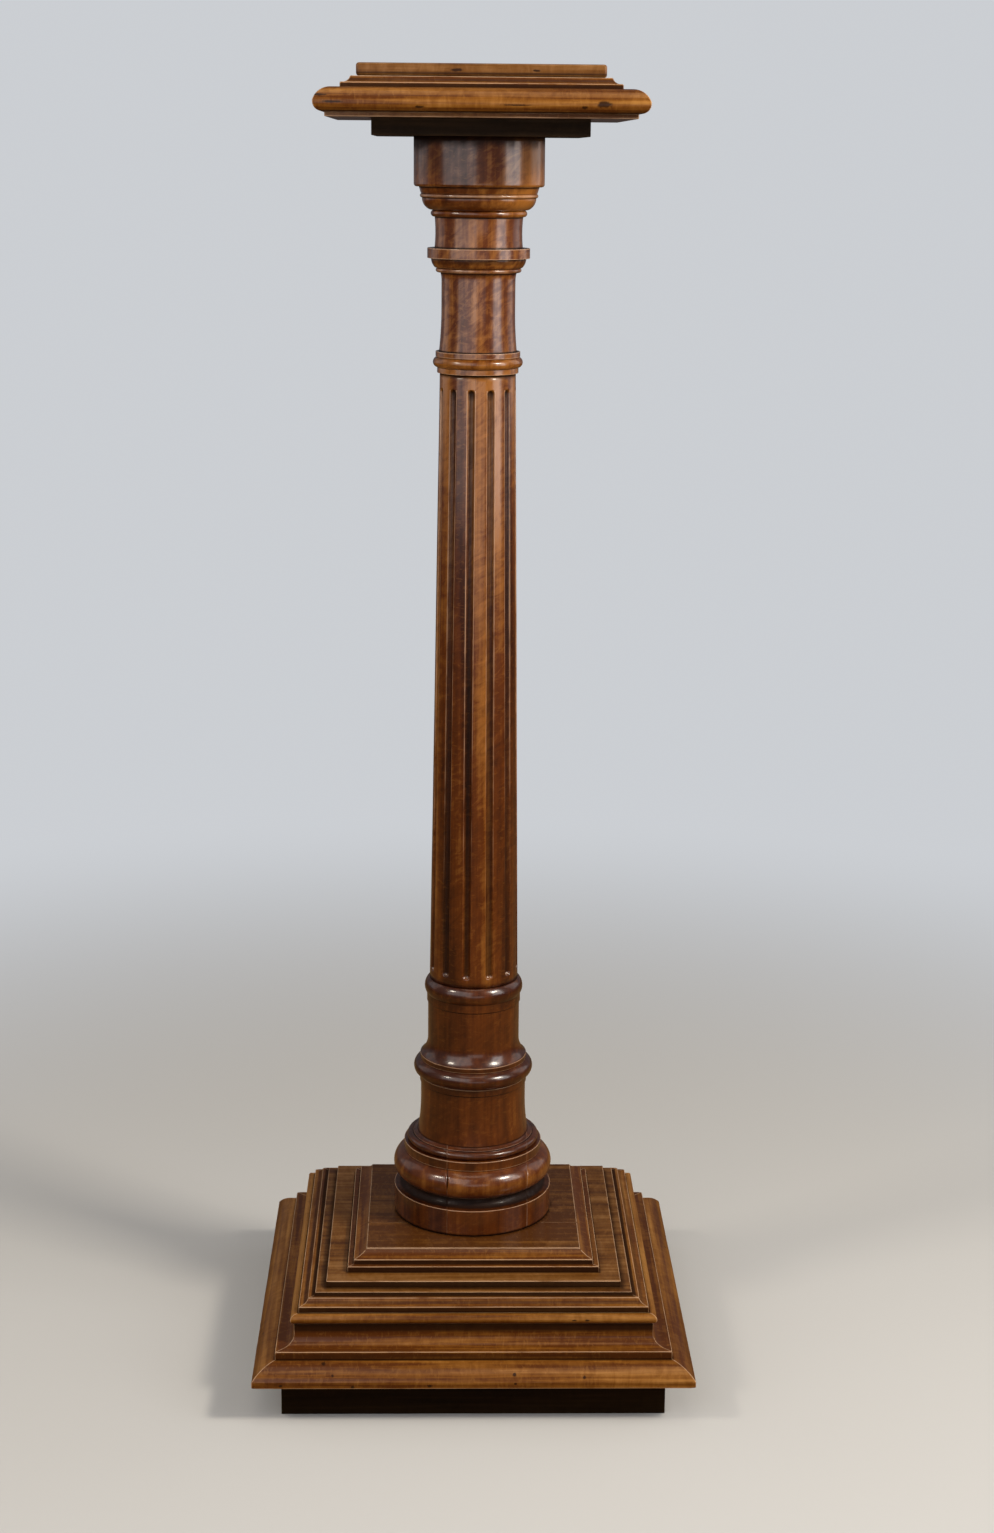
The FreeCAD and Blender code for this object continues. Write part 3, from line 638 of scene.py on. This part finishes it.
def shaftOutline():
    # radii and heights from the foot to the capital, heights from the floor
    taperFoot, taperHead = shaft["taper"]
    fluteFoot, fluteHead = shaft["fluted"]
    points = [
        (51.2, 204.0), (48.4, 236.0, fullHollow), (48.4, 252.4), (49.3, 252.4), (49.3, 258.6),
        *beadOf(54.9, 258.6, 8.0), (49.0, 274.6), (49.0, 279.4), (48.2, 279.4),
        (42.0, 294.4, fullHollow), (42.0, 330.4), (42.9, 330.4), (42.9, 338.2), (45.0, 344.5, fullRound),
        (40.9, fluteFoot, fullRound), (taperFoot, fluteFoot), (taperHead, fluteHead), (35.4, fluteHead),
        (35.4, 908.8),
        *beadOf(39.1, 908.8, 4.6), (36.8, 918.0), (36.8, 922.6), (33.8, 922.6),
        (31.9, 958.6, fullHollow), (31.9, 982.6), (32.9, 989.8, fullHollow), *beadOf(37.0, 989.8, 2.0),
        (37.6, 993.8), (41.0, 1001.8, fullRound), (44.2, 1001.8),
        (44.2, 1010.4), (38.0, 1010.4), (37.3, 1023.45, fullHollow), (38.0, 1036.5, fullHollow)]
    return [(out * mm, up * mm, *curve) for out, up, *curve in points]


def capitalOutline():
    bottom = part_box("capital")[0].z / mm
    points = [
        *beadOf(41.4, 0, 2.95), (42.2, 5.9), (49.0, 15.9, fullRound), *beadOf(50.7, 15.9, 1.8),
        (49.9, 19.5), (51.6, 25.1), (53.6, 25.1), (56.0, 27.5, fullRound), (56.0, 66.6)]
    return [(out * mm, (bottom + up) * mm, *curve) for out, up, *curve in points]


# the dark boxes below are painted shade in the foot's scotia, under the collar and under the upper bead
columnWear = Wear(
    [(90 * mm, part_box("foot_middle")[0].z)] + footOutline(foot) + shaftOutline() + capitalOutline()
    + [(89 * mm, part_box("top_cleat")[0].z)],
    shadeBoxes=((60, 72, 150.6, 158.6, 1.0), (38, 44, 997.0, 1001.8, 0.5), (32, 34, 901.8, 904.8, 0.6)),
    even=((40, 43, 350.0, 358.0, 0.4), (41, 44, 329.6, 331.4, 1.0), (47, 50, 251.6, 253.4, 1.0),
          (55, 62, 195.4, 201.0, 0.25), (48.5, 55, 262.0, 275.0, 0.4)))
# (height, strength) of the figure and, below, (height, how much paler), heights in millimetres
figuring = (
    (0, 0.25), (330, 0.30), (420, 0.45), (880, 0.60), (930, 0.80), (990, 0.80), (1040, 0.50), (1110, 0.70))


def figureAt(height):
    # how strongly the figure shows at a height
    return np.interp(height / mm, *zip(*figuring))


# heights in millimetres and how much paler; the paling towards the top is painted light from above
palerByHeight = (
    (125, -0.07), (150, -0.10), (160, 0.0), (174, 0.03), (186, -0.05), (196, -0.14), (206, -0.07),
    (245, -0.07), (257, -0.18), (276, -0.18), (296, -0.11), (330, -0.11), (337, -0.17), (353, -0.16),
    (360, -0.05), (650, 0.0), (840, 0.11), (905, 0.20), (925, 0.05), (990, 0.04), (1110, 0.07))


def palerAt(height):
    # how much paler than usual the column is drawn at a height: painted light, paler towards the top
    # where more light falls, and darker at the lower rings
    return np.interp(height / mm, *zip(*palerByHeight))


def arcPlaces(count):
    # shares of an arc from 0 to 1, closer together at both ends
    near = np.array([0, 0.006, 0.014, 0.03])
    return np.concatenate([near, np.linspace(0.055, 0.945, count), 1 - near[::-1]])


def footBoard(name, node, line, start, end, seed, settings):
    # one glued board of the foot: every row is the part of a circle between two upright planes, as a
    # front arc, the right cut, the back arc and the left cut
    recess, arris = columnWear.at(line)
    radius, height = line[:, :1], line[:, 1:]
    first = np.arcsin(np.clip(start * mm / radius, -1, 1))
    last = np.arcsin(np.clip(end * mm / radius, -1, 1))
    share = arcPlaces(70)
    front = first + (last - first) * share
    back = math.pi - front[:, ::-1]
    cuts = np.linspace(0, 1, 8)[None, 1:-1]
    whole = [np.stack([radius * np.sin(front), -radius * np.cos(front)], -1)]
    backArc = np.stack([radius * np.sin(back), -radius * np.cos(back)], -1)
    if end * mm < radius.min():
        whole.append(whole[0][:, -1:] + (backArc[:, :1] - whole[0][:, -1:]) * cuts[..., None])
        whole.append(backArc)
    else:
        whole.append(backArc[:, 1:])
    if -start * mm < radius.min():
        whole.append(backArc[:, -1:] + (whole[0][:, :1] - backArc[:, -1:]) * cuts[..., None])
    else:
        whole[-1] = whole[-1][:, :-1]
    flat = np.concatenate(whole, 1)
    seam = np.zeros(flat.shape[:2])
    for place in settings["seams"]:
        away = np.abs(flat[..., 0] - place * mm)
        seam = np.maximum(seam, np.exp(-(away / (0.45 * mm)) ** 2))
    middle, spread = settings["crackHeight"]
    crackAt = settings["seams"][0] * mm
    open_ = np.exp(-((height / mm - middle) / spread) ** 4) * (np.abs(flat[..., 0] - crackAt) < 3 * mm)
    open_ = open_ * (flat[..., 1] < 0)
    cutIn = seam * (settings["groove"] + settings["crack"] * open_) * mm
    flat = flat * (1 - cutIn / radius)[..., None]
    spot = np.concatenate([flat, np.broadcast_to(height[..., None], (*flat.shape[:2], 1))], -1)
    grain = np.stack([spot[..., 2], spot[..., 0] - start * mm, spot[..., 1] + 0.075], -1)
    marks = {
        "recess": recess[:, None], "arris": np.maximum(arris[:, None], 0.45 * seam) * (1 - open_),
        "seam": seam * open_, "figured": figureAt(height),
        "tone": palerAt(height) + 0.03 * math.cos(5 * seed)}
    woodPiece(name, spot, grain + seededShift(seed), marks, turnedWood, node)


footLine = spaced(eased(drawn(footOutline(foot)), 0.3 * mm), 2.5 * mm)
leftSeam, rightSeam = foot["seams"]
footBoard("foot_board_left", "foot_left", footLine, -90, leftSeam, 51, foot)
footBoard("foot_board_middle", "foot_middle", footLine, leftSeam, rightSeam, 52, foot)
footBoard("foot_board_right", "foot_right", footLine, rightSeam, 90, 53, foot)
print("foot built")


def fluteSpan(settings):
    # heights at which the flutes' round ends begin
    low, high = np.array(settings["fluted"]) * mm
    return low + settings["fluteEnds"][0] * mm, high - settings["fluteEnds"][1] * mm


def fluteDepth(radius, height, angle, settings):
    # how deep a round-ended cutter, laid parallel to the taper, goes below the surface at an angle from
    # its own line: the chord through the cutter's circle, which shrinks beyond the flute's ends
    lowEnd, highEnd = fluteSpan(settings)
    centre = radius + settings["fluteSetOut"] * mm
    beyond = np.maximum(0, np.maximum(lowEnd - height, height - highEnd))
    inside = (settings["fluteRadius"] * mm) ** 2 - beyond ** 2 - (centre * np.sin(angle)) ** 2
    depth = radius - centre * np.cos(angle) + np.sqrt(np.maximum(inside, 0))
    depth = np.where((inside > 0) & (beyond < settings["fluteRadius"] * mm), depth, -centre + radius)
    soft = settings["softEdge"] * mm
    return (depth + np.sqrt(depth ** 2 + soft ** 2)) / 2


def turnedPoints(radius, height, angle, bearing):
    # points round the axis, radius times sine and cosine of the bearing, with a slow unevenness added to
    # the radius, and their places in the grain
    uneven = ripple(np.stack([np.cos(angle), np.sin(angle), height / (40 * mm) + 0 * angle], -1), 2.4, 7)
    worn = radius + uneven * 0.06 * mm
    spot = np.stack([worn * np.sin(bearing), -worn * np.cos(bearing), height + 0 * angle], -1)
    return spot, np.stack([spot[..., 2], spot[..., 0] + 0.05, spot[..., 1] + 0.03], -1)


def turnedPiece(name, node, outline, longest, seed, marksOf=None):
    # an outline turned about the column's axis: radius times sine and cosine of evenly spaced angles
    line = spaced(eased(drawn(outline), 0.25 * mm), longest)
    recess, arris = columnWear.at(line)
    radius, height = line[:, :1], line[:, 1:]
    angle = np.linspace(0, 2 * math.pi, 161)[None, :-1] + 0 * radius
    spot, grain = turnedPoints(radius, height, angle, angle)
    marks = {
        "recess": recess[:, None] + 0 * angle, "arris": arris[:, None] + 0 * angle,
        "figured": figureAt(height), "tone": palerAt(height)}
    if marksOf:
        marksOf(marks, spot)
    woodPiece(name, spot, grain + seededShift(seed), marks, turnedWood, node)


def fluteRows(settings, line):
    # the fluted length: the taper less the flutes' depth, on angles that crowd to the flutes' edges
    radius, height = line[:, :1], line[:, 1:]
    fluteLow, fluteHigh = fluteSpan(settings)
    edge = np.arcsin(np.sqrt(settings["fluteRadius"] ** 2 - settings["fluteSetOut"] ** 2) * mm / radius)
    pitch = 2 * math.pi / settings["fluteCount"]
    inside = np.array([0, 0.3, 0.55, 0.74, 0.88, 0.96]) * edge
    outside = edge + (pitch / 2 - edge) * np.array([0.0, 0.05, 0.12, 0.3, 0.6, 1.0])
    halfPitch = np.concatenate([inside, outside], 1)
    onePitch = np.concatenate([halfPitch, pitch - halfPitch[:, -2:0:-1]], 1)
    turns = np.arange(settings["fluteCount"]) * pitch
    angle = (turns[None, :, None] + onePitch[:, None, :]).reshape(len(line), -1)
    fromFlute = (angle + pitch / 2) % pitch - pitch / 2
    depth = fluteDepth(radius, height, fromFlute, settings)
    bearing = angle + math.radians(settings["fluteTurn"])
    spot, grain = turnedPoints(radius - depth, height, angle, bearing)
    recess, arris = columnWear.at(line)
    # painted shade inside the flutes, darker at their heads; at their scooped lower ends pale wear and
    # painted highlight; the lips pale with worn wood and painted highlight, more so higher up
    cutIn = np.clip(depth / (2.2 * mm), 0, 1)
    inFlute = (height > fluteLow - 3 * mm) & (height < fluteHigh + 3 * mm)
    lip = np.exp(-((np.abs(fromFlute) - edge) * radius / (0.55 * mm)) ** 2)
    lip = lip * np.interp(height / mm, (380, 480, 700), (0.20, 0.35, 0.90))
    foot = np.exp(-((height - fluteLow + 2.0 * mm) / (1.3 * mm)) ** 2) * cutIn ** 0.5
    head = np.clip((height - fluteHigh + 5 * mm) / (5 * mm), 0, 1)
    stripes = 0.10 * np.sin(4 * bearing + 0.6) + 0.07 * np.sin(9 * bearing + height / (90 * mm))
    marks = {
        "recess": np.maximum(recess[:, None], cutIn * (0.56 + 0.35 * head)) * (1 - 0.6 * foot),
        "arris": np.maximum(arris[:, None], inFlute * lip) * (1 - cutIn) + 0.55 * foot,
        "figured": figureAt(height),
        "tone": palerAt(height) + stripes}
    return spot, grain, marks


def buildShaft(settings):
    outline = shaftOutline()
    tenon = settings["tenon"] * mm
    low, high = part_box("shaft")
    taperStart = outline.index((settings["taper"][0] * mm, settings["fluted"][0] * mm))
    footEnd = [(tenon - 0.5 * mm, low.z + 0.4 * mm), (tenon, low.z + 0.9 * mm), (tenon, outline[0][1])]
    neckEnd = [(tenon, outline[-1][1]), (tenon, high.z)]
    turnedPiece("shaft_foot", "shaft", footEnd + outline[:taperStart + 1], 6 * mm, 61)
    turnedPiece("shaft_neck", "shaft", outline[taperStart + 1:] + neckEnd, 6 * mm, 61)
    fluteLow, fluteHigh = fluteSpan(settings)
    line = spaced(
        drawn(outline[taperStart:taperStart + 2]), 7 * mm,
        fine=((fluteLow - 2 * mm, 3.6 * mm, 0.4 * mm), (fluteHigh + 2 * mm, 3.6 * mm, 0.4 * mm)))
    spot, grain, marks = fluteRows(settings, line)
    woodPiece(
        "fluted_shaft", spot, grain + seededShift(61), marks, turnedWood, "shaft")


def shadowedTop(marks, spot):
    # painted shadow of the cleat, a ragged dark band under it, and paler on the right, partly sapwood
    # and partly painted light from the right
    marks["tone"] = 0.22 * np.clip(spot[..., 0] / mm / 26 - 0.4, 0, 1) - 0.01
    below = (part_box("top_cleat")[0].z - spot[..., 2]) / mm + 3 * ripple(spot, 0.035, 72)
    marks["recess"] = np.maximum(marks["recess"], 0.85 * np.clip((13 - below) / 9, 0, 1))


buildShaft(shaft)
turnedPiece("capital_drum", "capital", capitalOutline(), 4 * mm, 71, shadowedTop)
print("column built")

top = {
    "nose": [(-7.4, 0), (0, 7.4, fullRound), (0, 8.7), (-14.2, 19.3, fullRound)],
    "hollow": [(0, 0), (0, 4.0), (-2, 4.0), (-7.9, 8.0, fullHollow), (-7.9, 9.0)]}
topNodes = {"nose": "top_main_moulding", "hollow": "top_upper_moulding"}
topSections = {key: sectionOf(topNodes[key] + "_front", points) for key, points in top.items()}
panelLow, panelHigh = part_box("top_panel")
# the dark boxes below are painted shade at the foot of the nose and on the upper moulding's fillet and
# hollow
topWear = Wear(
    [(56 * mm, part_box("top_cleat")[0].z)] + rimOf("top_cleat") + rimOf("top_lip_board")
    + topSections["nose"] + topSections["hollow"]
    + [(-panelLow.y, panelLow.z), (-panelLow.y, panelHigh.z), (60 * mm, panelHigh.z)],
    shadeBoxes=(
        (120, 132, 1121.2, 1122.8, 0.85), (112, 115, 1140.4, 1143.5, 0.95),
        (105, 113, 1145.2, 1147.8, 0.55)))
topLooks = {"nose": {"tipWear": 2.4 * mm, "tone": 0.02}, "hollow": {"tipWear": 0.8 * mm, "tone": -0.05}}
cleatEdge, drumEdge = 89.7, 56  # half width and radius, in millimetres
for number, key in enumerate(top):
    mitredSides(
        "top_" + key, topNodes[key], topSections[key], topWear, mouldingWood, "moulding_wood",
        200 + 10 * number, **topLooks[key])
# the sunk marks of these boards are painted shade: a dark ring round the drum under the cleat, dark bands
# under the lip and the nose, and a dark line low on the top board's edge
slab("cleat", "top_cleat", ebonisedWood, 81, ease=0.6, step=5,
     sunk=lambda place: 0.8 * besideRound(place, drumEdge, 3) * (place[..., 2] < 1.108))
slab("lip", "top_lip_board", boardWood, 82, ease=0.7, lines=(cleatEdge,), tone=-0.10,
     sunk=lambda place: 0.8 * besideSquare(place, cleatEdge, 2.5) * (place[..., 2] < 1.119)
     + 0.8 * besideSquare(place, 128, 2.0) * (place[..., 2] > 1.120))
slab("top_board", "top_panel", boardWood, 83, ease=2.4, step=3, tone=0.06,
     sunk=lambda place: 0.8 * np.exp(-((place[..., 2] / mm - 1151.8) / 0.7) ** 2))
print("top built")

for name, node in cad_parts.items():
    node.data.materials.clear()
    node.data.materials.append(screwSteel if "screws" in name else innerWood)

# camera place, angles in degrees, and the focal length and the picture's height in pixels
view = {
    "place": (0.01976, -2.2010, 1.0900), "down": 13.751, "roll": 0.517, "turn": -1.328,
    "focal": 2507.9, "pictureHeight": 1533}
around = Matrix.Rotation(math.radians(view["turn"]), 4, "Z")
tilt = (Matrix.Rotation(math.radians(90 - view["down"]), 4, "X")
        @ Matrix.Rotation(math.radians(view["roll"]), 4, "Z"))
cameraData = bpy.data.cameras.new("camera")
sensorSize = 36
cameraData.sensor_width = sensorSize
cameraData.lens = sensorSize * view["focal"] / view["pictureHeight"]
camera = bpy.data.objects.new("camera", cameraData)
camera.matrix_world = around @ Matrix.Translation(Vector(view["place"])) @ tilt
bpy.context.scene.collection.objects.link(camera)
bpy.context.scene.camera = camera

# each lamp: bearing from the front in degrees, distance, height of its middle and size in metres, glow
# (radiance), and whether it has the warm colour; the camera sees the floor in its own colour, which fades
# to the backdrop between two distances, and all other rays meet floorGlow
studio = {
    "lamps": (
        {"bearing": -36, "reach": 1.35, "height": 1.25, "width": 1.6, "tall": 1.3, "glow": 1.5},
        {"bearing": 60, "reach": 1.35, "height": 1.25, "width": 0.70, "tall": 1.3, "glow": 3.8},
        {"bearing": 4, "reach": 2.6, "height": 0.62, "width": 1.7, "tall": 0.66, "glow": 1.0},
        {"bearing": -60, "reach": 2.0, "height": 2.0, "width": 0.42, "tall": 0.26, "glow": 40, "warm": 1},
        {"bearing": 56, "reach": 2.0, "height": 2.0, "width": 0.46, "tall": 0.30, "glow": 84, "warm": 1},
        {"bearing": 118, "reach": 2.4, "height": 1.6, "width": 1.4, "tall": 2.0, "glow": 0.7},
        {"bearing": -118, "reach": 2.4, "height": 1.6, "width": 1.4, "tall": 2.0, "glow": 0.4},
        {"bearing": 0, "reach": 0.3, "height": 3.3, "width": 1.6, "tall": 1.6, "glow": 1.4, "warm": 1}),
    "warmth": (1.0, 0.90, 0.74),
    "aim": 0.95, "sky": (0.90, 0.93, 1.0), "skyLight": 0.12,
    "backdrop": (0.60, 0.62, 0.65), "floor": (0.62, 0.61, 0.60), "floorGlow": (0.24, 0.145, 0.060),
    "fade": (0.5, 1.9)}
for settings in studio["lamps"]:
    lampData = bpy.data.lights.new("lamp", "AREA")
    lampData.shape = "RECTANGLE"
    lampData.color = studio["warmth"] if "warm" in settings else (1, 1, 1)
    lampData.size, lampData.size_y = settings["width"], settings["tall"]
    lampData.energy = settings["glow"] * math.pi * settings["width"] * settings["tall"]
    lamp = bpy.data.objects.new("lamp", lampData)
    bearing = math.radians(settings["bearing"])
    lamp.location = (
        math.sin(bearing) * settings["reach"], -math.cos(bearing) * settings["reach"], settings["height"])
    lamp.rotation_mode = "QUATERNION"
    lamp.rotation_quaternion = (Vector((0, 0, studio["aim"])) - lamp.location).to_track_quat("-Z", "Y")
    lamp.visible_camera = False
    bpy.context.scene.collection.objects.link(lamp)

world = bpy.data.worlds.new("studio")
bpy.context.scene.world = world
world.use_nodes = True
sky = world.node_tree.nodes["Background"]
sky.inputs[0].default_value = (*studio["sky"], 1)
sky.inputs[1].default_value = studio["skyLight"]
seen = world.node_tree.nodes.new("ShaderNodeBackground")
seen.inputs[0].default_value = (*studio["backdrop"], 1)
toCamera = world.node_tree.nodes.new("ShaderNodeLightPath")
choose = world.node_tree.nodes.new("ShaderNodeMixShader")
world.node_tree.links.new(toCamera.outputs["Is Camera Ray"], choose.inputs[0])
world.node_tree.links.new(sky.outputs[0], choose.inputs[1])
world.node_tree.links.new(seen.outputs[0], choose.inputs[2])
world.node_tree.links.new(choose.outputs[0], world.node_tree.nodes["World Output"].inputs[0])
bpy.context.scene.view_settings.view_transform = "Standard"

floorMesh = bpy.data.meshes.new("floor")
wide = 6  # metres from the middle of the floor to its edge
floorMesh.from_pydata(
    [(-wide, -wide, 0), (wide, -wide, 0), (wide, wide, 0), (-wide, wide, 0)], [], [(0, 1, 2, 3)])
floor = bpy.data.objects.new("floor", floorMesh)
bpy.context.scene.collection.objects.link(floor)
floorPaint = Finish("floor_paint")
seenColour = floorPaint.blend(
    floorPaint.add("ShaderNodeLightPath", output="Is Camera Ray"), (*studio["floorGlow"], 1),
    (*studio["floor"], 1))
floorPaint.surface(**{"Base Color": seenColour, "Roughness": 0.8, "Specular IOR Level": 0.1})
away = floorPaint.add("ShaderNodeVectorMath", {0: objectPlace(floorPaint)}, "Value", operation="LENGTH")
glow = floorPaint.add("ShaderNodeEmission", {"Color": (*studio["backdrop"], 1)})
share = away.between(*studio["fade"]) * floorPaint.add("ShaderNodeLightPath", output="Is Camera Ray")
both = floorPaint.add("ShaderNodeMixShader", {0: share, 2: glow})
floorPaint.tree.links.new(floorPaint.shader.outputs[0], both.socket.node.inputs[1])
floorPaint.tree.links.new(both.socket, floorPaint.tree.nodes["Material Output"].inputs[0])
floorMesh.materials.append(floorPaint.material)
print("studio ready")
